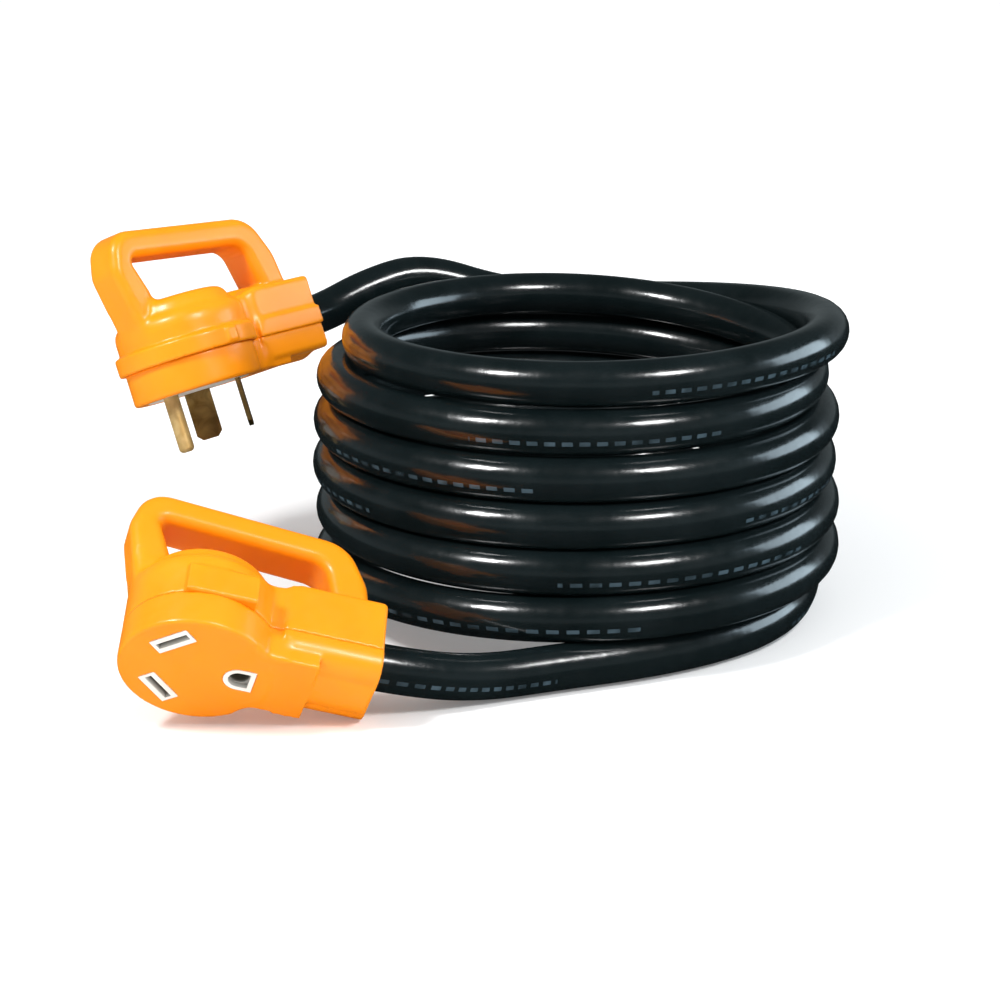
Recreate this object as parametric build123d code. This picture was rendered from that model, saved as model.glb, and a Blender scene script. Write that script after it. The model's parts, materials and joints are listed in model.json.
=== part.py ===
from build123d import *

import os
from math import pi, radians, tan

# A coiled 30 A shore power cord: a plug with a carry handle at one end, a connector
# (socket) with the same handle at the other, and a heavy jacketed cord between them.
# Millimetres, +Z up. The origin is the centre of the underside of the whole object.

# ---- the cord ----
CORD_D = 17.0
COIL_CENTRE = (44.9, 38.8)
COIL_WALL = 28.0
COIL_HEIGHT = 124.0
COIL_EDGE_ROUND = 6.0
# The coil's outline is an oval, (half width in X, half depth in Y, centre's Y). The low
# turns reach further forwards than the high ones.
COIL_LOW_OVAL = (105.0, 118.0, -12.0)
COIL_HIGH_OVAL = (108.2, 108.0, 2.0)

# ---- both heads, in a head's own frame: the mating face is at Z = 0, the handle is
# ---- towards +Z and the cord leaves towards +X
BODY_R = 27.0
SEAM_Z = 13.5
BACK_Z = 33.0
DOME_R = 23.0
DOME_Z = 39.0
NECK_HALF_W = 15.5
TAIL_START_X = 27.0
TAIL_END_X = 63.0
TAIL_HALF_W = 17.0
TAIL_TOP_Z = 34.5
TAIL_FLOOR_Z = 3.0
TAIL_STEP_X = 41.0
WALL = 2.6
LIP_THICK = 1.2
LIP_HIGH = 1.6
EXIT_HOLE_R = CORD_D / 2 + 0.4
HANDLE_W = 18.0
HANDLE_ROUND = 3.6
# The handle's side view: outer corners, then the corners of the finger gap.
HANDLE_OUTER = [(-25.5, 24.0), (-31.5, 54.0), (-27.0, 70.0), (48.0, 65.0), (56.5, 48.0), (60.0, 26.0)]
HANDLE_CORNER_R = [10.0, 11.0, 15.0, 20.0]
GAP_CORNERS = [(-13.0, 36.0), (-21.5, 58.5), (40.5, 54.5), (45.0, 36.0)]
GAP_CORNER_R = [2.5, 8.0]

# ---- the 30 A contact pattern: two blades at right angles and a round ground pin ----
GROUND_X = 15.7
BLADE_X = 10.4
BLADE_Y = 13.3
BLADE_W = 10.9
BLADE_T = 1.8
BLADE_LONG = 20.5
BLADE_TIP_CHAMFER = 2.2
FLANGE_W = 13.4
FLANGE_D = 4.6
PIN_R = 3.175
PIN_LONG = 23.5
PIN_TIP_ROUND = 1.9
SHANK_HALF_FLAT = 3.1
FLANGE_Z = 7.0
FLANGE_T = 1.5
BARREL_FOOT_TOP_Z = 12.1
PLUG_BARREL_TOP_Z = 18.0
CONNECTOR_BARREL_TOP_Z = 19.5
SLOT_W = 12.7
SLOT_T = 2.6
SOCKET_R = 3.5
SOCKET_MOUTH_R = 3.9
SOCKET_MOUTH_DEEP = 2.0
BARREL_R = 2.6
BARREL_BORE_R = 1.55
COPPER_R = 1.5
COPPER_DEEP = 3.0
WIRE_R = 2.25
WIRE_TOP_Z = 27.0
JACKET_END_X = 47.0
GRIP_R = 11.0

# ---- the white moulded insulators that hold the contacts ----
BRIDGE_WINDOW_R = 22.0
BRIDGE_TOP_Z = 7.0
BRIDGE_CAP_TOP_Z = 12.0
BLOCK_R = 23.0
BLOCK_TOP_Z = 15.0
COVER_TOP_Z = 18.5
BOSS_W = 15.2
BOSS_T = 6.7
GROUND_BOSS_R = 5.6
CHAMBER_W = 13.4
CHAMBER_T = 7.0
GROUND_CHAMBER_R = 5.4

# ---- the connector's spring contacts ----
LEAF_W = 9.5
LEAF_ROOT_Y = 1.9
SLEEVE_ROOT_Y = 3.35
LEAF_ROOT_Z = 13.4
LEAF_BEAD_R = 0.55
SLEEVE_R = 2.95
LEAF_T = 0.8
BASE_Z = 14.0
BASE_T = 0.8

# ---- where each head lies: place of its face centre from the coil's axis at floor
# ---- level, and its turns about X, then Y, then Z
PLUG_PLACE = (-156.1, 12.4, 78.8)
PLUG_TURNS = (-13.6, -17.5, 49.9)
PLUG_EXIT_Z = 16.5
CONNECTOR_PLACE = (-131.4, -176.4, 26.1)
CONNECTOR_TURNS = (-58.6, 0.6, 17.8)
CONNECTOR_EXIT_Z = 18.0

# ---- the two stretches that aren't coiled, from the head's inside to the coil ----
PLUG_ROUTE = [
    (-132.19, 53.18, 94.5),
    (-113.76, 76.85, 94.7),
    (-86.4, 95.4, 100.5),
    (-54.7, 104.5, 106.5),
    (-21.7, 103.3, 106.0),
    (6.0, 95.4, 104.5),
]
CONNECTOR_ROUTE = [
    (-86.46, -153.95, 22.97),
    (-59.81, -149.73, 15.52),
    (-33.0, -143.0, 8.5),
    (-4.0, -133.0, 8.5),
    (24.0, -119.0, 8.5),
    (50.0, -101.0, 8.5),
]


def at_coil(point):
    """A point given from the coil's axis, in the part's frame."""
    return (point[0] + COIL_CENTRE[0], point[1] + COIL_CENTRE[1], point[2])


def head_location(place, turns):
    return Location(at_coil(place), turns)


def block(x0, x1, half_w, z0, z1):
    """A box from x0 to x1 and z0 to z1, centred on Y = 0."""
    centre = Location(((x0 + x1) / 2, 0, (z0 + z1) / 2))
    return centre * Box(x1 - x0, 2 * half_w, z1 - z0)


def disc(radius, z0, z1, x=0.0, y=0.0):
    return Location((x, y, (z0 + z1) / 2)) * Cylinder(radius, z1 - z0)


def rod_x(radius, x0, x1, z):
    """A round bar along X at height z."""
    return Location(((x0 + x1) / 2, 0, z), (0, 90, 0)) * Cylinder(radius, x1 - x0)


def body_plan(grow, z0, z1):
    """The plan of a head, round body, neck and tail block, thickened by grow."""
    solid = disc(BODY_R + grow, z0, z1)
    solid += block(0, TAIL_START_X + 2 * WALL, NECK_HALF_W + grow, z0, z1)
    solid += block(TAIL_START_X - grow, TAIL_END_X + grow, TAIL_HALF_W + grow, z0, z1)
    return solid


# ---------------------------------------------------------------- shells

def rounded_outline(corners, radii):
    """A closed outline whose corners, from the second on, are rounded by the radii given."""
    face = make_face(Polyline(*corners, close=True))
    for (x, z), radius in zip(corners[1:], radii):
        near = [v for v in face.vertices() if abs(v.X - x) < 0.5 and abs(v.Y - z) < 0.5]
        face = fillet(near, radius)
    return face


def handle_bar():
    """The D handle: its side view, thickened and rounded along both sides."""
    outline = rounded_outline(HANDLE_OUTER, HANDLE_CORNER_R)
    gap = rounded_outline(GAP_CORNERS, GAP_CORNER_R)
    bar = extrude(Plane.XZ * (outline - gap), HANDLE_W / 2, both=True)
    sides = bar.edges().filter_by(lambda e: abs(abs(e.center().Y) - HANDLE_W / 2) < 0.01)
    return fillet(sides, HANDLE_ROUND)


def handle_shell(exit_z, trim):
    """The back half of a head: hollow body, tail block and carry handle."""
    body = disc(BODY_R, SEAM_Z, BACK_Z)
    body = fillet(body.edges().group_by(Axis.Z)[-1], 5.0)
    dome = disc(DOME_R, BACK_Z - 3, DOME_Z)
    dome = fillet(dome.edges().group_by(Axis.Z)[-1], 5.0)
    neck = block(0, TAIL_START_X + 1, NECK_HALF_W, SEAM_Z, BACK_Z)
    tail = block(TAIL_START_X, TAIL_END_X, TAIL_HALF_W, SEAM_Z, TAIL_TOP_Z)
    tail = fillet(tail.edges().filter_by(Axis.Z) + tail.edges().group_by(Axis.Z)[-1], 1.6)
    shell = body + dome + neck + tail + handle_bar() + trim
    cavity = body_plan(-WALL, SEAM_Z - 1, BACK_Z - WALL)
    shell -= cavity
    shell -= rod_x(EXIT_HOLE_R, TAIL_END_X - 2 * WALL, TAIL_END_X + 5, exit_z)
    return shell


def face_shell(exit_z, window, tail_corner_r):
    """The front half of a head: a cup round the mating face and a trough for the cord."""
    cup = disc(BODY_R, 0, SEAM_Z)
    cup = fillet(cup.edges().group_by(Axis.Z)[0], 1.0)
    neck = block(0, TAIL_STEP_X, NECK_HALF_W, 0.4, SEAM_Z)
    tail = block(TAIL_START_X, TAIL_END_X, TAIL_HALF_W, TAIL_FLOOR_Z, SEAM_Z)
    tail = fillet(tail.edges().filter_by(Axis.X).group_by(Axis.Z)[0], tail_corner_r)
    trough = rod_x(exit_z - 0.8, TAIL_STEP_X - 6, TAIL_END_X - 1.2, exit_z)
    trough &= block(0, TAIL_END_X + 1, TAIL_HALF_W, -5, SEAM_Z)
    shell = cup + neck + tail + trough
    shell -= body_plan(-WALL, WALL, SEAM_Z + 1) & block(-40, TAIL_STEP_X, 40, 0, SEAM_Z + 1)
    shell -= body_plan(-WALL, TAIL_FLOOR_Z + WALL, SEAM_Z + 1)
    lip = body_plan(-WALL - 0.1, SEAM_Z - 3, SEAM_Z + LIP_HIGH)
    lip -= body_plan(-WALL - 0.1 - LIP_THICK, SEAM_Z - 4, SEAM_Z + LIP_HIGH + 1)
    lip &= block(-40, TAIL_START_X - 6, 40, 0, 40)
    lip_foot = body_plan(-WALL + 0.3, SEAM_Z - 4.5, SEAM_Z - 3)
    lip_foot -= body_plan(-WALL - 0.1 - LIP_THICK, SEAM_Z - 6, SEAM_Z)
    lip_foot &= block(-40, TAIL_START_X - 6, 40, 0, 40)
    shell = shell + lip + lip_foot
    shell -= rod_x(EXIT_HOLE_R, TAIL_END_X - 2 * WALL, TAIL_END_X + 5, exit_z)
    return shell - window


# ---------------------------------------------------------------- contact pattern

def blade_place(side, mirror):
    """Where a blade sits: side is -1 or 1 in Y, mirror is 1 on the plug, -1 on the connector."""
    return Location((mirror * BLADE_X, side * BLADE_Y, 0), (0, 0, -45 * side * mirror))


def ground_x(mirror):
    return -mirror * GROUND_X


def terminal(z0, z1):
    """A round crimp barrel, open at the top."""
    return disc(BARREL_R, z0, z1) - disc(BARREL_BORE_R, z0 + 1.5, z1 + 1)


def barrel_on_foot():
    """The crimp barrel behind the flange of a plug contact."""
    foot = disc(BARREL_R + 0.4, FLANGE_Z + FLANGE_T - 0.1, BARREL_FOOT_TOP_Z)
    return foot + terminal(BARREL_FOOT_TOP_Z - 0.1, PLUG_BARREL_TOP_Z)


def plug_blade():
    """A flat blade with a chamfered tip, a seating flange and a crimp barrel."""
    top = FLANGE_Z + FLANGE_T
    blade = Location((0, 0, (top - BLADE_LONG) / 2)) * Box(BLADE_W, BLADE_T, top + BLADE_LONG)
    tip = blade.edges().group_by(Axis.Z)[0]
    blade = chamfer(tip.filter_by(Axis.Y), BLADE_TIP_CHAMFER)
    flange = Location((0, 0, FLANGE_Z + FLANGE_T / 2)) * Box(FLANGE_W, FLANGE_D, FLANGE_T)
    return blade + flange + barrel_on_foot()


def hexagon(half_flat, z0, z1):
    """A hexagonal bar, half_flat from its axis to each flat."""
    outline = RegularPolygon(half_flat, 6, major_radius=False)
    return extrude(Location((0, 0, z0)) * outline, z1 - z0)


def plug_pin():
    """The round ground pin: a domed tip, a hexagonal shank that can't turn, a collar."""
    pin = disc(PIN_R, -PIN_LONG, 0)
    pin = fillet(pin.edges().group_by(Axis.Z)[0], PIN_TIP_ROUND)
    pin += hexagon(SHANK_HALF_FLAT, 0, FLANGE_Z + 0.2)
    return pin + disc(PIN_R + 1.5, FLANGE_Z, FLANGE_Z + FLANGE_T) + barrel_on_foot()


# ---------------------------------------------------------------- insulators

def plug_bridge():
    """The white disc that the plug's blades and pin stand in, and which is its face."""
    solid = disc(BRIDGE_WINDOW_R - 0.3, 0.0, BRIDGE_TOP_Z) + disc(23.8, WALL + 0.1, 5.0)
    for side in (-1, 1):
        solid -= blade_place(side, 1) * Box(BLADE_W + 0.1, BLADE_T + 0.1, 40)
    return solid - Location((ground_x(1), 0, 0)) * hexagon(PIN_R + 0.05, -1, 20)


def plug_bridge_cap():
    """The disc behind the bridge that holds the flanges of the blades and the pin."""
    solid = disc(22.6, BRIDGE_TOP_Z, BRIDGE_CAP_TOP_Z)
    for side in (-1, 1):
        place = blade_place(side, 1)
        solid -= place * Location((0, 0, BRIDGE_TOP_Z)) * Box(FLANGE_W + 0.2, FLANGE_D + 0.2, 3.2)
        solid -= place * disc(BARREL_R + 0.5, BRIDGE_TOP_Z - 1, BRIDGE_CAP_TOP_Z + 1)
    solid -= disc(PIN_R + 1.6, BRIDGE_TOP_Z - 1, BRIDGE_TOP_Z + FLANGE_T + 0.1, ground_x(1))
    return solid - disc(BARREL_R + 0.5, BRIDGE_TOP_Z - 1, BRIDGE_CAP_TOP_Z + 1, ground_x(1))


def blade_window(width, thick, z0, z1):
    """Both blades' openings, as one cutter for the connector's face."""
    cutter = Part()
    for side in (-1, 1):
        cutter += blade_place(side, -1) * Location((0, 0, (z0 + z1) / 2)) * Box(width, thick, z1 - z0)
    return cutter


def ground_window(radius, flat, z0, z1):
    """A D shape at the ground socket: round towards the centre, square outwards."""
    centre = Location((ground_x(-1), 0, 0))
    square = Location((flat / 2, 0, (z0 + z1) / 2)) * Box(flat, 2 * radius, z1 - z0)
    return centre * (disc(radius, z0, z1) & block(-20, flat, 20, z0, z1)) + centre * square


def contact_block():
    """The connector's white insulator: bosses in the face, and a chamber for each contact."""
    solid = disc(BLOCK_R, WALL + 0.1, BLOCK_TOP_Z)
    solid += blade_window(BOSS_W, BOSS_T, 0, 4)
    solid += ground_window(GROUND_BOSS_R, GROUND_BOSS_R - 0.3, 0, 4)
    solid -= blade_window(SLOT_W, SLOT_T, -1, 5)
    solid -= blade_window(CHAMBER_W, CHAMBER_T, 4.5, BLOCK_TOP_Z + 1)
    solid -= ground_window(SOCKET_MOUTH_R, SOCKET_MOUTH_R - 0.3, -1, SOCKET_MOUTH_DEEP)
    solid -= disc(SOCKET_R, 0, 7, ground_x(-1))
    return solid - disc(GROUND_CHAMBER_R, 6, BLOCK_TOP_Z + 1, ground_x(-1))


def contact_cover():
    """The plate that closes the chambers, with a hole for each crimp barrel."""
    solid = disc(BLOCK_R, BLOCK_TOP_Z, COVER_TOP_Z)
    for side in (-1, 1):
        solid -= blade_place(side, -1) * disc(BARREL_R + 0.2, 10, 20)
    return solid - disc(BARREL_R + 0.2, 10, 20, ground_x(-1))


# ---------------------------------------------------------------- spring contacts

def blade_base():
    """The back plate of a blade contact, with its crimp barrel."""
    plate = Location((0, 0, BASE_Z + BASE_T / 2)) * Box(CHAMBER_W - 0.4, CHAMBER_T - 0.4, BASE_T)
    return plate + terminal(BASE_Z + BASE_T - 0.1, CONNECTOR_BARREL_TOP_Z)


def blade_leaf(side):
    """One spring leaf: a round bend at its root, a waist that grips, a flared mouth."""
    y0 = LEAF_ROOT_Y
    outline = [(y0 - 0.4, LEAF_ROOT_Z), (0.7, 6.2), (1.4, 4.8),
               (2.1, 5.1), (1.52, 6.3), (y0 + 0.4, LEAF_ROOT_Z)]
    flat = make_face(Polyline(*[(side * y, z) for y, z in outline], close=True))
    leaf = extrude(Plane.YZ * flat, LEAF_W / 2, both=True)
    bead = Location((0, side * y0, LEAF_ROOT_Z), (0, 90, 0)) * Cylinder(LEAF_BEAD_R, LEAF_W)
    return leaf + bead


def ground_base():
    """The back plate of the ground contact, with its crimp barrel."""
    plate = disc(GROUND_CHAMBER_R - 0.4, BASE_Z, BASE_Z + BASE_T)
    return plate + terminal(BASE_Z + BASE_T - 0.1, CONNECTOR_BARREL_TOP_Z)


def ground_leaf(side):
    """Half of the sprung sleeve that grips the ground pin."""
    half = disc(SLEEVE_R + LEAF_T, 6.6, LEAF_ROOT_Z) - disc(SLEEVE_R, 6, 14)
    half &= Location((0, side * 4.0, 10)) * Box(20, 5.6, 20)
    bead = Location((0, side * SLEEVE_ROOT_Y, LEAF_ROOT_Z), (0, 90, 0)) * Cylinder(LEAF_BEAD_R, 3.0)
    return half + bead


# ---------------------------------------------------------------- wiring

# Each conductor's Y and Z where it crosses into the tail block, then its Y and its rise
# from the cord's axis where it enters the jacket.
CONDUCTORS = {
    "line": (5.2, 24.6, 2.5, -1.5),
    "neutral": (-5.2, 24.6, -2.5, -1.5),
    "ground": (0.0, WIRE_TOP_Z, 0.0, 3.0),
}


def wire(x, y, z_start, conductor, exit_z):
    """One insulated conductor, from its crimp barrel back to the jacket's cut end."""
    middle_y, middle_z, end_y, rise = CONDUCTORS[conductor]
    end_z = exit_z + rise
    points = [(x, y, z_start), (x, y, WIRE_TOP_Z), (TAIL_START_X, middle_y, middle_z),
              (39.0, end_y, end_z), (JACKET_END_X - 0.05, end_y, end_z)]
    bend = 0.2 * (WIRE_TOP_Z - z_start) + 1.2
    path = FilletPolyline(*points, radius=[bend, 5.0, 5.0])
    return sweep(Plane(origin=points[0], z_dir=(0, 0, 1)) * Circle(WIRE_R), path=path)


def cord_grip(exit_z):
    """The tapered rubber sleeve that grips the jacket inside the tail block."""
    length = 12.0
    middle = TAIL_END_X - WALL - 0.4 - length / 2
    sleeve = Location((middle, 0, exit_z), (0, 90, 0)) * Cone(GRIP_R, GRIP_R - 1.0, length)
    return sleeve - rod_x(CORD_D / 2 + 0.02, 30, 80, exit_z)


# ---------------------------------------------------------------- heads

def build_head(prefix, exit_z, trim, window, tail_corner_r, mirror, barrel_top):
    """The pieces that both heads share, in the head's own frame."""
    grip_room = rod_x(GRIP_R + 0.1, JACKET_END_X - 0.5, TAIL_END_X - WALL, exit_z)
    parts = {
        "handle_shell": handle_shell(exit_z, trim) - grip_room,
        "face_shell": face_shell(exit_z, window, tail_corner_r) - grip_room,
        "cord_grip": cord_grip(exit_z),
    }
    blade_x = mirror * BLADE_X
    spots = {
        "line": (blade_x, BLADE_Y),
        "neutral": (blade_x, -BLADE_Y),
        "ground": (ground_x(mirror), 0),
    }
    ends = []
    for name, (x, y) in spots.items():
        parts[name + "_wire"] = wire(x, y, barrel_top + 0.5, name, exit_z)
        ends.append(disc(COPPER_R, barrel_top - COPPER_DEEP, barrel_top + 0.5, x, y))
    parts["wire_ends"] = Compound(children=ends)
    return {prefix + "_" + name: solid for name, solid in parts.items()}


def build_plug():
    skirt = disc(BODY_R + 2.4, SEAM_Z, 21.0)
    skirt = fillet(skirt.edges().group_by(Axis.Z)[-1], 0.8)
    band = block(TAIL_START_X, TAIL_END_X + 0.8, TAIL_HALF_W + 0.8, SEAM_Z, 21.0)
    tab = block(-2.5, 2.5, BODY_R + 3.2, SEAM_Z + 1.0, 20.0)
    window = disc(BRIDGE_WINDOW_R, -1, WALL + 1)
    parts = build_head("plug", PLUG_EXIT_Z, skirt + band + tab, window, 2.0, 1, PLUG_BARREL_TOP_Z)
    parts["plug_bridge"] = plug_bridge()
    parts["plug_bridge_cap"] = plug_bridge_cap()
    parts["plug_line_blade"] = blade_place(1, 1) * plug_blade()
    parts["plug_neutral_blade"] = blade_place(-1, 1) * plug_blade()
    parts["plug_ground_pin"] = Location((ground_x(1), 0, 0)) * plug_pin()
    return parts


def build_connector():
    flat_band = block(-10, 15, BODY_R + 0.6, SEAM_Z, 25.0)
    flat_band = fillet(flat_band.edges().filter_by(Axis.X), 0.8)
    window = blade_window(BOSS_W + 0.1, BOSS_T + 0.1, -1, 4)
    window += ground_window(GROUND_BOSS_R + 0.05, GROUND_BOSS_R - 0.2, -1, 4)
    parts = build_head("connector", CONNECTOR_EXIT_Z, flat_band, window, 8.0, -1,
                       CONNECTOR_BARREL_TOP_Z)
    parts["connector_contact_block"] = contact_block()
    parts["connector_contact_cover"] = contact_cover()
    ground = Location((ground_x(-1), 0, 0))
    for name, side in (("line", 1), ("neutral", -1)):
        place = blade_place(side, -1)
        parts["connector_" + name + "_contact"] = place * blade_base()
        parts["connector_" + name + "_leaf_a"] = place * blade_leaf(1)
        parts["connector_" + name + "_leaf_b"] = place * blade_leaf(-1)
    parts["connector_ground_contact"] = ground * ground_base()
    parts["connector_ground_leaf_a"] = ground * ground_leaf(1)
    parts["connector_ground_leaf_b"] = ground * ground_leaf(-1)
    return parts


# ---------------------------------------------------------------- cord

def coil_body(inset, edge_round):
    """The leaning drum that the wound turns fill, drawn in by inset."""
    ovals = []
    for z, (half_x, half_y, shift) in ((0, COIL_LOW_OVAL), (COIL_HEIGHT, COIL_HIGH_OVAL)):
        oval = Ellipse(half_x - inset, half_y - inset)
        ovals.append((Location((0, shift, z)) * oval).face())
    drum = loft(ovals)
    rims = drum.edges().group_by(Axis.Z)
    return fillet(rims[0] + rims[-1], edge_round) if edge_round else drum


def cord_coil():
    """The outer shape of the wound turns, lying on the floor."""
    ring = coil_body(0, COIL_EDGE_ROUND) - coil_body(COIL_WALL, 0)
    return Location((COIL_CENTRE[0], COIL_CENTRE[1], 0)) * ring


def bend_radii(points):
    """The largest even bend at each corner of a route: 0.45 of its shorter run."""
    radii = []
    for before, corner, after in zip(points, points[1:], points[2:]):
        run_in = Vector(corner) - Vector(before)
        run_out = Vector(after) - Vector(corner)
        half_turn = radians(run_in.get_angle(run_out)) / 2
        radii.append(0.45 * min(run_in.length, run_out.length) / tan(half_turn))
    return radii


def cord_tube(name, route):
    """A plain tube along a route, of straight runs joined by tangent arcs."""
    points = [at_coil(point) for point in route]
    radii = bend_radii(points)
    path = FilletPolyline(*points, radius=radii)
    start = Plane(origin=points[0], z_dir=Vector(points[1]) - Vector(points[0]))
    tube = sweep(start * Circle(CORD_D / 2), path=path)
    section = pi * (CORD_D / 2) ** 2
    print(name, "bend radii in diameters", [round(r / CORD_D, 1) for r in radii])
    print(name, "length", round(path.length, 1), "volume / (section x length)",
          round(tube.volume / (section * path.length), 4))
    return tube


def report_axes(location, exit_z):
    """Print the points and directions that the interfaces and hinges stand on."""
    rows = [("face", (0, 0, 0), (0, 0, -1)), ("exit", (TAIL_END_X, 0, 0), (1, 0, 0))]
    for side in (-1, 1):
        place = blade_place(side, -1)
        for leaf in (-1, 1):
            root = place * Location((0, leaf * LEAF_ROOT_Y, LEAF_ROOT_Z))
            along = place * Location((leaf, leaf * LEAF_ROOT_Y, LEAF_ROOT_Z))
            rows.append((f"blade {side} leaf {leaf}", root.position, along.position - root.position))
    for leaf in (-1, 1):
        root = (ground_x(-1), leaf * SLEEVE_ROOT_Y, LEAF_ROOT_Z)
        rows.append((f"ground leaf {leaf}", root, (leaf, 0, 0)))
    for mirror, label in ((1, "pin"), (-1, "socket")):
        rows.append((label, (ground_x(mirror), 0, 0), (0, 0, -1)))
        rows.append((label + " line", (mirror * BLADE_X, BLADE_Y, 0), (0, 0, -1)))
        rows.append((label + " neutral", (mirror * BLADE_X, -BLADE_Y, 0), (0, 0, -1)))
    rows.append(("route start", (JACKET_END_X, 0, exit_z), (28, 0, 0)))
    for label, point, direction in rows:
        here = location * Location(Vector(point))
        there = location * Location(Vector(point) + Vector(direction))
        axis = there.position - here.position
        print("AXIS", label, [round(v, 3) for v in here.position], [round(v, 5) for v in axis])


def main():
    plug_at = head_location(PLUG_PLACE, PLUG_TURNS)
    connector_at = head_location(CONNECTOR_PLACE, CONNECTOR_TURNS)
    nodes = {}
    for name, solid in build_plug().items():
        nodes[name] = plug_at * solid
    for name, solid in build_connector().items():
        nodes[name] = connector_at * solid
    nodes["cord_coil"] = cord_coil()
    nodes["plug_tail"] = cord_tube("plug_tail", PLUG_ROUTE)
    nodes["connector_tail"] = cord_tube("connector_tail", CONNECTOR_ROUTE)
    os.makedirs("parts", exist_ok=True)
    for name, solid in nodes.items():
        export_step(solid, "parts/" + name + ".step")
    whole = Compound(children=list(nodes.values())).bounding_box()
    print("nodes", len(nodes), "box", whole.min, whole.max)
    for name in ("connector_face_shell", "connector_handle_shell"):
        print(name, "lowest point", round(nodes[name].bounding_box().min.Z, 2))
    print("plug frame")
    report_axes(plug_at, PLUG_EXIT_Z)
    print("connector frame")
    report_axes(connector_at, CONNECTOR_EXIT_Z)


main()
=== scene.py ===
"""Looks of the coiled shore power cord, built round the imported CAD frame.

Metres, +Z up. The origin is the centre of the underside of the whole object.
"""

import json
import math

import bpy
from mathutils import Euler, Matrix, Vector


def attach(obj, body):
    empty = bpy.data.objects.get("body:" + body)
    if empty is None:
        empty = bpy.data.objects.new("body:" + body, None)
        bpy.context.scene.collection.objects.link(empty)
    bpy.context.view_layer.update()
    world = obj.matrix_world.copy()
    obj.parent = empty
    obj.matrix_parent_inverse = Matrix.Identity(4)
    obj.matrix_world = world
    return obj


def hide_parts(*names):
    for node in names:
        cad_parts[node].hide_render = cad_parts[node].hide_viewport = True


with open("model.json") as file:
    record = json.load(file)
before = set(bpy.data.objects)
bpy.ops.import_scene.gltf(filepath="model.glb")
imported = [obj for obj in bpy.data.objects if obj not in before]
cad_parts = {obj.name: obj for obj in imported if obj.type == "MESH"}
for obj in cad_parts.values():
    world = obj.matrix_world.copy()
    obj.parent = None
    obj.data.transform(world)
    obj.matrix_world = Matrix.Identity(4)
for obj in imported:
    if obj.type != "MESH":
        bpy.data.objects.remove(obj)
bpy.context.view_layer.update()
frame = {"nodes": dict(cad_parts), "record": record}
NODES = frame["nodes"]
BODY = "cord_set"

# ---------------------------------------------------------------- the cord

CORD_D = 0.017
# The bevel's facets lie inside the true circle, so the jacket is drawn a little full.
JACKET_FULL = 1.02
BEVEL_RESOLUTION = 10
STEPS_PER_POINT = 8
COIL_AXIS = Vector((0.0449, 0.0388, 0.0))
POINTS_PER_TURN = 16
QUARTERS = 4
# An order-3 spline runs inside its control points, so they are set out by this power of
# the ratio between a circle round a polygon and one inside it.
OUTSET_POWER = 0.75

# The route's points are given from the coil's axis at floor level, in the order in which
# the cord runs. A turn is four quarter points, at its right, back, left and front, each
# (radius, height).
FROM_CONNECTOR = [
    (-0.08646, -0.15395, 0.02297),
    (-0.05981, -0.14873, 0.01552),
    (-0.0340, -0.1345, 0.0085),
    (-0.0050, -0.1215, 0.0085),
    (0.0240, -0.1095, 0.0085),
    (0.0500, -0.0940, 0.0085),
    (0.0720, -0.0730, 0.0085),
    (0.0860, -0.0460, 0.0085),
]
TURNS = [
    [(0.0930, 0.0085), (0.0960, 0.0095), (0.0975, 0.0180), (0.1160, 0.0249)],
    [(0.0985, 0.0254), (0.0970, 0.0290), (0.0970, 0.0380), (0.1112, 0.0413)],
    [(0.0985, 0.0425), (0.0970, 0.0490), (0.0985, 0.0560), (0.1068, 0.0578)],
    [(0.0970, 0.0597), (0.0970, 0.0680), (0.0982, 0.0735), (0.1026, 0.0745)],
    [(0.0980, 0.0771), (0.0945, 0.0860), (0.0968, 0.0910), (0.0982, 0.0914)],
    [(0.0932, 0.0945), (0.0890, 0.1044), (0.0862, 0.1065), (0.0930, 0.1085)],
    [(0.1015, 0.1100), (0.1085, 0.0960)],
]
TO_PLUG = [
    (-0.0340, 0.1095, 0.0985),
    (-0.0690, 0.1050, 0.1105),
    (-0.0930, 0.0925, 0.1050),
    (-0.11376, 0.07685, 0.0955),
    (-0.13219, 0.05318, 0.0945),
]

# The jacket's printing, as shares of the spline's surface: the row's place and half height
# round the jacket, the number of dashes and phrases along the whole cord, and how much of
# each dash's and each phrase's pitch is printed.
PRINT_AROUND = 0.5
PRINT_HALF_HEIGHT = 0.016
DASHES = 720
PRINTED_OF_DASH = 0.62
PHRASES = 19
PRINTED_OF_PHRASE = 0.4

# ---------------------------------------------------------------- the heads

SHELLS = ["plug_handle_shell", "plug_face_shell", "connector_handle_shell", "connector_face_shell"]
CONNECTOR_FACE = (-0.0865, -0.1376, 0.0261)
INTO_CONNECTOR = (0.01047, 0.8535, 0.52098)
# How deep behind the connector's face the painted shade in its slots begins, and where it is full.
SLOT_SHADE_FROM = 0.0004
SLOT_SHADE_FULL_AT = 0.0030
# Each head's face centre, and its turns in degrees about X, Y and Z, made in the order Z, Y, X.
# In a head's own frame the face is at height 0, the handle is above it and the cord leaves
# towards +X.
HEAD_PLACES = {
    "plug": ((-0.1112, 0.0512, 0.0788), (-13.6, -17.5, 49.9)),
    "connector": (CONNECTOR_FACE, (-58.6, 0.6, 17.8)),
}

# The shells' skins: the even mesh's cell, how near to each other points are joined before
# it, how far the walls are moved out, and the rounds of smoothing everywhere and in the
# soft blends.
SKIN_CELL = 0.0006
SKIN_JOIN = 0.000001
SKIN_THICKEN = 0.00018
SOFTEN_ROUNDS = 7
BLEND_ROUNDS = 70

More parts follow.
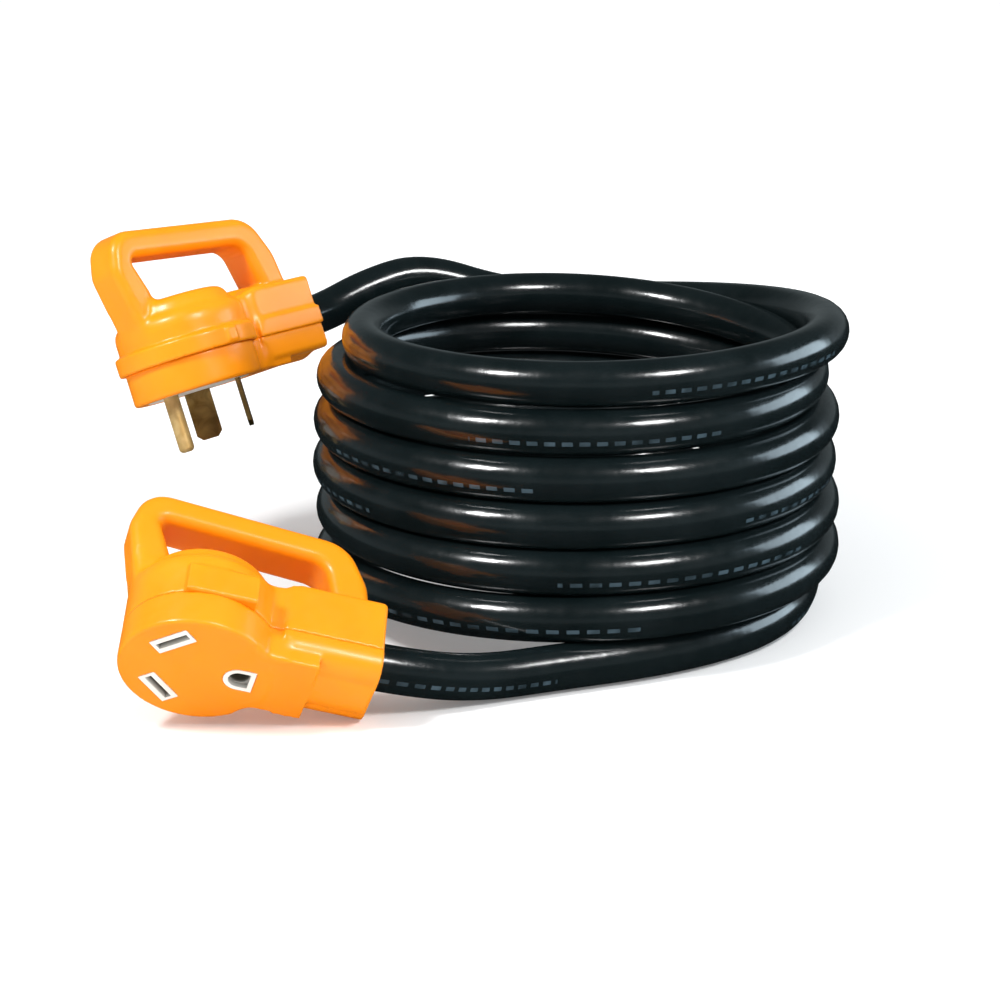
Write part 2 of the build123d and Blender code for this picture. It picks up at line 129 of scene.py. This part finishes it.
# The soft blends, in a head's own frame: the crown under the handle, and the sides of the
# neck, except for the seam between the two shells.
CROWN_RADIUS = 0.029
CROWN_FROM_Z = 0.027
CROWN_TO_Z = 0.043
NECK_FROM_X = 0.018
NECK_TO_X = 0.031
NECK_FROM_Y = 0.011
SEAM_Z = 0.0135
SEAM_KEPT = 0.003

# ---------------------------------------------------------------- camera and studio

# The camera that was fitted to the photo. Its turns, down and to the left, are in degrees.
LENS_MM = 89.46
SENSOR_WIDTH_MM = 36.0
CAMERA_PLACE = (0.0449, -0.9428, 0.3314)
CAMERA_TURNS_DOWN = 16.743
CAMERA_TURNS_LEFT = 1.805

LIGHTS_AIM = Vector((0, 0, 0.06))
FLOOR_HALF = 12.0
FLOOR_Z = -0.0002
# The floor glows evenly bright far off, and less near the object, as a painted shadow round and
# under it: the strength rises evenly between two distances from the middle.
GLOW_NEAR, GLOW_FAR = 0.22, 0.9
GLOW_AT_NEAR_IN_PAINTED_SHADOW, GLOW_AT_FAR = 0.12, 0.5
ROOM_LIGHT = 0.6
# What a glossy surface sees at each height, from straight down (0) to straight up (1).
ROOM_IN_GLOSS = [(0.47, 0.012), (0.5, 0.17), (0.62, 0.15), (0.72, 0.04), (1.0, 0.03)]
ROOM_TINT = (0.86, 1.0, 1.04)


# ---------------------------------------------------------------- shapes

def quarter_value(values, place):
    """A smooth line through the quarter points' values, read at a place along them. It is a
    Catmull-Rom spline: its slope at a point comes from the points on both sides."""
    i = min(int(place), len(values) - 2)
    t = place - i
    a, b = values[i], values[i + 1]
    before = values[max(i - 1, 0)]
    after = values[min(i + 2, len(values) - 1)]
    bend = 2 * before - 5 * a + 4 * b - after
    twist = 3 * (a - b) + after - before
    return a + 0.5 * t * (b - before + t * (bend + t * twist))


def coil_points():
    """The control points of the wound turns, going round anticlockwise from the right."""
    quarters = [quarter for turn in TURNS for quarter in turn]
    radii = [radius for radius, _ in quarters]
    heights = [height for _, height in quarters]
    per_quarter = POINTS_PER_TURN // QUARTERS
    outset = 1 / math.cos(math.pi / POINTS_PER_TURN) ** OUTSET_POWER
    points = []
    for i in range((len(quarters) - 1) * per_quarter + 1):
        place = i / per_quarter
        angle = place * math.pi / 2
        radius = quarter_value(radii, place) * outset
        height = quarter_value(heights, place)
        points.append((radius * math.cos(angle), radius * math.sin(angle), height))
    return points


def make_cord():
    """The whole cord as one smooth spline, from inside one head to inside the other."""
    curve = bpy.data.curves.new("cord", "CURVE")
    curve.dimensions = "3D"
    curve.twist_mode = "Z_UP"
    curve.bevel_depth = 1.0
    curve.bevel_resolution = BEVEL_RESOLUTION
    curve.resolution_u = STEPS_PER_POINT
    curve.use_fill_caps = True
    points = FROM_CONNECTOR + coil_points() + TO_PLUG
    spline = curve.splines.new("NURBS")
    spline.points.add(len(points) - 1)
    for target, point in zip(spline.points, points):
        target.co = (*(COIL_AXIS + Vector(point)), 1.0)
        # Blender's box of a curve grows with the points' radius and not with the bevel's
        # depth, so the jacket's radius is the points' and the depth is 1.
        target.radius = CORD_D / 2 * JACKET_FULL
    spline.order_u = 3
    spline.use_endpoint_u = True
    spline.use_smooth = True
    cord = bpy.data.objects.new("cord", curve)
    bpy.context.scene.collection.objects.link(cord)
    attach(cord, BODY)
    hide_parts("cord_coil", "plug_tail", "connector_tail")
    return cord


def is_in_blend(place):
    """Whether a place of a shell, in the head's own frame, is in a soft blend: on the crown
    under the handle, or at the neck where the round body meets the tail."""
    out = math.hypot(place.x, place.y)
    on_crown = CROWN_FROM_Z < place.z < CROWN_TO_Z and out < CROWN_RADIUS
    off_seam = abs(place.z - SEAM_Z) > SEAM_KEPT
    in_neck = NECK_FROM_X < place.x < NECK_TO_X and abs(place.y) > NECK_FROM_Y and off_seam
    return on_crown or in_neck


def set_mesh_from_modifiers(piece):
    """Make what the piece's modifiers give its own mesh, and take the modifiers off."""
    seen = piece.evaluated_get(bpy.context.evaluated_depsgraph_get())
    mesh = bpy.data.meshes.new_from_object(seen)
    piece.modifiers.clear()
    piece.data = mesh


def add_smoothing(piece, name, rounds):
    smoothing = piece.modifiers.new(name, "SMOOTH")
    smoothing.factor = 0.5
    smoothing.iterations = rounds
    return smoothing


def moulded_skin(name):
    """A copy of a shell with the rounded edges of a moulding, in the shell's place."""
    skin = bpy.data.objects.new(name + "_skin", NODES[name].data.copy())
    bpy.context.scene.collection.objects.link(skin)
    join = skin.modifiers.new("join", "WELD")
    join.merge_threshold = SKIN_JOIN
    # The walls are a little thicker, so that no thin corner opens in the even mesh.
    thicken = skin.modifiers.new("thicken", "DISPLACE")
    thicken.mid_level = 0.0
    thicken.strength = SKIN_THICKEN
    even = skin.modifiers.new("even", "REMESH")
    even.mode = "VOXEL"
    even.voxel_size = SKIN_CELL
    set_mesh_from_modifiers(skin)

    head = name.split("_")[0]
    face_centre, turns = HEAD_PLACES[head]
    turn = Euler([math.radians(angle) for angle in turns], "ZYX").to_matrix()
    to_head = turn.inverted()
    soft = skin.vertex_groups.new(name="blend")
    for vertex in skin.data.vertices:
        if is_in_blend(to_head @ (vertex.co - Vector(face_centre))):
            soft.add([vertex.index], 1.0, "REPLACE")
    add_smoothing(skin, "blend", BLEND_ROUNDS).vertex_group = soft.name
    add_smoothing(skin, "soften", SOFTEN_ROUNDS)
    set_mesh_from_modifiers(skin)
    skin.vertex_groups.clear()
    skin.data.shade_smooth()
    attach(skin, BODY)
    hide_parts(name)
    return skin


def make_camera():
    data = bpy.data.cameras.new("camera")
    data.lens = LENS_MM
    data.sensor_width = SENSOR_WIDTH_MM
    camera = bpy.data.objects.new("camera", data)
    camera.location = CAMERA_PLACE
    tilt = math.radians(90 - CAMERA_TURNS_DOWN)
    camera.rotation_euler = Euler((tilt, 0, math.radians(CAMERA_TURNS_LEFT)))
    bpy.context.scene.collection.objects.link(camera)
    bpy.context.scene.camera = camera


# ---------------------------------------------------------------- materials

# A mix node has a socket of each type under the same name, so colours go by number.
MIX_FACTOR, MIX_A, MIX_B = 0, 6, 7
MIX_RESULT = 2


class Shader:
    """A material's node tree, with short ways to add what these materials share."""

    def __init__(self, name, colour, roughness):
        self.material = bpy.data.materials.new(name)
        self.material.use_nodes = True
        self.tree = self.material.node_tree
        self.surface = self.tree.nodes["Principled BSDF"]
        self.surface.inputs["Base Color"].default_value = (*colour, 1)
        self.surface.inputs["Roughness"].default_value = roughness
        self.place = self.tree.nodes.new("ShaderNodeTexCoord")

    def link(self, source, target):
        self.tree.links.new(source, target)

    def set(self, **values):
        for name, value in values.items():
            self.surface.inputs[name.replace("_", " ")].default_value = value

    def noise(self, scale, detail=3.0, distortion=0.0):
        node = self.tree.nodes.new("ShaderNodeTexNoise")
        node.inputs["Scale"].default_value = scale
        node.inputs["Detail"].default_value = detail
        node.inputs["Distortion"].default_value = distortion
        self.link(self.place.outputs["Object"], node.inputs["Vector"])
        return node.outputs["Fac"]

    def ramp(self, source, *stops):
        """Colours along a value: each stop is (position, colour)."""
        node = self.tree.nodes.new("ShaderNodeValToRGB")
        band = node.color_ramp
        while len(band.elements) < len(stops):
            band.elements.new(0.5)
        for element, (position, colour) in zip(band.elements, stops):
            element.position = position
            element.color = (*colour, 1)
        self.link(source, node.inputs["Fac"])
        return node.outputs["Color"]

    def grey_ramp(self, source, *stops):
        return self.ramp(source, *[(position, (v, v, v)) for position, v in stops])

    def feed(self, value, socket):
        """Give a socket another node's output, or a plain value."""
        if hasattr(value, "links"):
            self.link(value, socket)
        else:
            socket.default_value = value

    def mix(self, factor, a, b):
        """Colour a where the factor is 0, and colour b where it is 1."""
        node = self.tree.nodes.new("ShaderNodeMix")
        node.data_type = "RGBA"
        self.feed(factor, node.inputs[MIX_FACTOR])
        self.feed(a, node.inputs[MIX_A])
        self.feed(b, node.inputs[MIX_B])
        return node.outputs[MIX_RESULT]

    def by_distance(self, near, far, at_near, at_far):
        """A value that changes with the distance from the object's origin."""
        away = self.tree.nodes.new("ShaderNodeVectorMath")
        away.operation = "LENGTH"
        self.link(self.place.outputs["Object"], away.inputs[0])
        return self.remap(away.outputs["Value"], near, far, at_near, at_far)

    def remap(self, source, low, high, at_low, at_high):
        """A value that goes evenly from at_low to at_high as the source goes from low to high."""
        node = self.tree.nodes.new("ShaderNodeMapRange")
        node.inputs["From Min"].default_value = low
        node.inputs["From Max"].default_value = high
        node.inputs["To Min"].default_value = at_low
        node.inputs["To Max"].default_value = at_high
        self.link(source, node.inputs["Value"])
        return node.outputs["Result"]

    def along(self, point, direction):
        """How far a place is past a point, in a direction."""
        offset = self.tree.nodes.new("ShaderNodeVectorMath")
        offset.operation = "SUBTRACT"
        self.link(self.place.outputs["Object"], offset.inputs[0])
        offset.inputs[1].default_value = point
        reach = self.tree.nodes.new("ShaderNodeVectorMath")
        reach.operation = "DOT_PRODUCT"
        self.link(offset.outputs["Vector"], reach.inputs[0])
        reach.inputs[1].default_value = direction
        return reach.outputs["Value"]

    def math(self, operation, a, b=0.0, c=0.0):
        node = self.tree.nodes.new("ShaderNodeMath")
        node.operation = operation
        for value, socket in zip((a, b, c), node.inputs):
            self.feed(value, socket)
        return node.outputs["Value"]

    def printed(self, along, count, share):
        """1 over the first share of each of a count of equal lengths, and 0 over the rest."""
        in_length = self.math("FRACT", self.math("MULTIPLY", along, count))
        return self.math("LESS_THAN", in_length, share)

    def colour(self, source):
        self.link(source, self.surface.inputs["Base Color"])

    def rough(self, source):
        self.link(source, self.surface.inputs["Roughness"])

    def bump(self, source, depth, strength=1.0):
        node = self.tree.nodes.new("ShaderNodeBump")
        node.inputs["Distance"].default_value = depth
        node.inputs["Strength"].default_value = strength
        self.link(source, node.inputs["Height"])
        self.link(node.outputs["Normal"], self.surface.inputs["Normal"])


def jacket_material():
    """Glossy black jacket: a faint green-blue cast, a slightly rippled skin, and a faint row
    of plain dashes printed along it."""
    s = Shader("cord_jacket", (0.006, 0.010, 0.011), 0.2)
    s.set(Specular_IOR_Level=0.55, Coat_Weight=0.3, Coat_Roughness=0.12)
    black = s.ramp(s.noise(35, 4), (0.3, (0.0025, 0.0055, 0.006)), (0.7, (0.006, 0.0105, 0.0115)))
    axes = s.tree.nodes.new("ShaderNodeSeparateXYZ")
    s.link(s.place.outputs["UV"], axes.inputs["Vector"])
    along, around = axes.outputs["X"], axes.outputs["Y"]
    in_row = s.math("COMPARE", around, PRINT_AROUND, PRINT_HALF_HEIGHT)
    in_dash = s.printed(along, DASHES, PRINTED_OF_DASH)
    in_phrase = s.printed(along, PHRASES, PRINTED_OF_PHRASE)
    worn = s.remap(s.noise(90, 2), 0.35, 0.6, 0.25, 1.0)
    marks = s.math("MULTIPLY", in_row, in_dash)
    ink = s.math("MULTIPLY", marks, s.math("MULTIPLY", in_phrase, worn))
    s.colour(s.mix(ink, black, (0.05, 0.08, 0.10, 1)))
    s.rough(s.grey_ramp(s.noise(140, 4), (0.3, 0.16), (0.7, 0.25)))
    s.bump(s.noise(260, 2), 0.00025, 0.35)
    return s.material


def orange_material():
    """Glossy moulded orange plastic, with flow marks and a fine skin texture."""
    s = Shader("orange_shell", (0.95, 0.28, 0.004), 0.3)
    s.set(Specular_IOR_Level=0.4, Coat_Weight=0.08, Coat_Roughness=0.15)
    flow = s.noise(28, 3, distortion=0.6)
    s.colour(s.ramp(flow, (0.3, (0.90, 0.265, 0.003)), (0.7, (0.98, 0.305, 0.005))))
    s.rough(s.grey_ramp(s.noise(220, 4), (0.3, 0.28), (0.7, 0.38)))
    s.bump(s.noise(1500, 3), 0.00004, 0.3)
    return s.material


def plastic_material(name, light, dark, roughness):
    """Plain moulded plastic or rubber, with faint mottling."""
    s = Shader(name, light, roughness)
    s.colour(s.ramp(s.noise(90, 4), (0.3, dark), (0.7, light)))
    s.rough(s.grey_ramp(s.noise(300, 3), (0.3, roughness - 0.05), (0.7, roughness + 0.07)))
    s.bump(s.noise(1800, 3), 0.00005, 0.3)
    return s.material


def contact_block_material():
    """White insulator, with painted shade where its slots go down behind the connector's face."""
    s = Shader("contact_block", (0.86, 0.84, 0.78), 0.35)
    white = s.ramp(s.noise(90, 4), (0.3, (0.80, 0.78, 0.72)), (0.7, (0.88, 0.87, 0.82)))
    # Painted shade: the white darkens the deeper a place lies behind the connector's face, as in
    # the slots.
    depth = s.along(CONNECTOR_FACE, INTO_CONNECTOR)
    shade = s.remap(depth, SLOT_SHADE_FROM, SLOT_SHADE_FULL_AT, 0.0, 1.0)
    s.colour(s.mix(shade, white, (0.10, 0.09, 0.07, 1)))
    s.rough(s.grey_ramp(s.noise(300, 3), (0.3, 0.3), (0.7, 0.42)))
    s.bump(s.noise(1800, 3), 0.00005, 0.3)
    return s.material


def metal_material(name, bright, tarnished, roughness, metallic=1.0):
    """Bare metal with blotches of tarnish and a fine grain."""
    s = Shader(name, bright, roughness)
    s.set(Metallic=metallic)
    blotches = s.noise(130, 5, distortion=0.8)
    s.colour(s.ramp(blotches, (0.35, tarnished), (0.65, bright)))
    s.rough(s.grey_ramp(blotches, (0.3, roughness + 0.18), (0.7, roughness)))
    s.bump(s.noise(2500, 2), 0.00004, 0.4)
    return s.material


def materials():
    """A look for each of the record's slots, and two for single nodes of their slots."""
    insulator = plastic_material("white_insulator", (0.86, 0.84, 0.78), (0.78, 0.75, 0.67), 0.35)
    black = plastic_material("black_insulation", (0.02, 0.02, 0.02), (0.012, 0.012, 0.012), 0.4)
    white = plastic_material("white_insulation", (0.8, 0.8, 0.78), (0.7, 0.7, 0.68), 0.4)
    green = plastic_material("green_insulation", (0.03, 0.30, 0.08), (0.02, 0.22, 0.06), 0.4)
    brass = metal_material("brass", (0.62, 0.42, 0.16), (0.30, 0.20, 0.07), 0.28)
    copper = metal_material("copper", (0.80, 0.36, 0.20), (0.45, 0.18, 0.10), 0.3)
    pin = metal_material("pin", (0.86, 0.62, 0.27), (0.62, 0.40, 0.14), 0.3, metallic=0.5)
    return {
        "cord_jacket": jacket_material(),
        "orange_shell": orange_material(),
        "white_insulator": insulator,
        "black_insulation": black,
        "white_insulation": white,
        "green_insulation": green,
        "brass": brass,
        "copper": copper,
        "pin": pin,
        "contact_block": contact_block_material(),
    }


def paint(obj, material):
    obj.data.materials.clear()
    obj.data.materials.append(material)


def paint_nodes(looks):
    """Give every CAD node the look of the record's slot for it."""
    for row in frame["record"]["subparts"]:
        paint(NODES[row["node"]], looks[row["material_slot"]])


# ---------------------------------------------------------------- studio

def soft_light(name, azimuth, elevation, distance, size, power, colour=(1, 1, 1)):
    """A softbox aimed at the object. Azimuth 0 is the camera's side and 90 the right."""
    a, e = math.radians(azimuth), math.radians(elevation)
    towards = Vector((math.sin(a) * math.cos(e), -math.cos(a) * math.cos(e), math.sin(e)))
    data = bpy.data.lights.new(name, "AREA")
    data.shape = "RECTANGLE"
    data.size, data.size_y = size
    data.energy = power
    data.color = colour
    light = bpy.data.objects.new(name, data)
    light.location = LIGHTS_AIM + towards * distance
    light.rotation_euler = towards.to_track_quat("Z", "Y").to_euler()
    bpy.context.scene.collection.objects.link(light)


def make_floor():
    """The white ground, which the glossy jacket and shells don't reflect, with a painted shadow
    where its glow is weaker near the object.
    """
    mesh = bpy.data.meshes.new("floor")
    corners = [(x * FLOOR_HALF, y * FLOOR_HALF, 0) for x, y in ((-1, -1), (1, -1), (1, 1), (-1, 1))]
    mesh.from_pydata(corners, [], [(0, 1, 2, 3)])
    floor = bpy.data.objects.new("floor", mesh)
    floor.location.z = FLOOR_Z
    bpy.context.scene.collection.objects.link(floor)
    s = Shader("floor", (0.92, 0.92, 0.92), 0.6)
    s.set(Specular_IOR_Level=0.2, Emission_Color=(1, 1, 1, 1))
    # Painted shadow: the floor's glow is weaker near the object, so it is darker round and under
    # it.
    glow_with_painted_shadow = s.by_distance(GLOW_NEAR, GLOW_FAR, GLOW_AT_NEAR_IN_PAINTED_SHADOW, GLOW_AT_FAR)
    s.link(glow_with_painted_shadow, s.surface.inputs["Emission Strength"])
    paint(floor, s.material)
    floor.visible_glossy = False


def make_world():
    """A white room. Glossy surfaces see it dimmer: a grey band above a dark floor and below
    a dark ceiling, as between softboxes."""
    world = bpy.data.worlds.new("world")
    bpy.context.scene.world = world
    world.use_nodes = True
    nodes, links = world.node_tree.nodes, world.node_tree.links
    axes = nodes.new("ShaderNodeSeparateXYZ")
    links.new(nodes.new("ShaderNodeTexCoord").outputs["Generated"], axes.inputs["Vector"])
    height = nodes.new("ShaderNodeMapRange")
    height.inputs["From Min"].default_value = -1.0
    links.new(axes.outputs["Z"], height.inputs["Value"])
    band = nodes.new("ShaderNodeValToRGB")
    stops = band.color_ramp.elements
    while len(stops) < len(ROOM_IN_GLOSS):
        stops.new(0.5)
    for stop, (position, grey) in zip(stops, ROOM_IN_GLOSS):
        stop.position = position
        stop.color = (*[grey * tint for tint in ROOM_TINT], 1)
    links.new(height.outputs["Result"], band.inputs["Fac"])
    rays = nodes.new("ShaderNodeLightPath")
    choose = nodes.new("ShaderNodeMix")
    choose.data_type = "RGBA"
    choose.inputs[MIX_A].default_value = (ROOM_LIGHT, ROOM_LIGHT, ROOM_LIGHT, 1)
    links.new(rays.outputs["Is Glossy Ray"], choose.inputs[MIX_FACTOR])
    links.new(band.outputs["Color"], choose.inputs[MIX_B])
    links.new(choose.outputs[MIX_RESULT], nodes["Background"].inputs["Color"])


def make_studio():
    make_floor()
    soft_light("key", azimuth=-50, elevation=50, distance=1.4, size=(0.22, 0.26), power=14)
    soft_light("fill", azimuth=44, elevation=46, distance=1.5, size=(0.34, 0.30), power=12)
    soft_light("side", azimuth=105, elevation=14, distance=1.4, size=(0.9, 0.6), power=8,
               colour=(0.70, 0.88, 1.0))
    make_world()
    bpy.context.scene.view_settings.view_transform = "Standard"


# ---------------------------------------------------------------- the scene

make_camera()
cord = make_cord()
skins = [moulded_skin(name) for name in SHELLS]
looks = materials()
paint(cord, looks["cord_jacket"])
paint_nodes(looks)
# The pin is a paler and less mirror-like brass than the blades.
paint(NODES["plug_ground_pin"], looks["pin"])
# The contact block's look has painted shade in its slots.
paint(NODES["connector_contact_block"], looks["contact_block"])
for skin in skins:
    paint(skin, looks["orange_shell"])
make_studio()

replaced = [*SHELLS, "plug_tail"]
on_plug = [NODES[name] for name in sorted(NODES)
           if name.startswith("plug_") and name not in replaced]
on_plug += [skin for skin in skins if skin.name.startswith("plug_")]
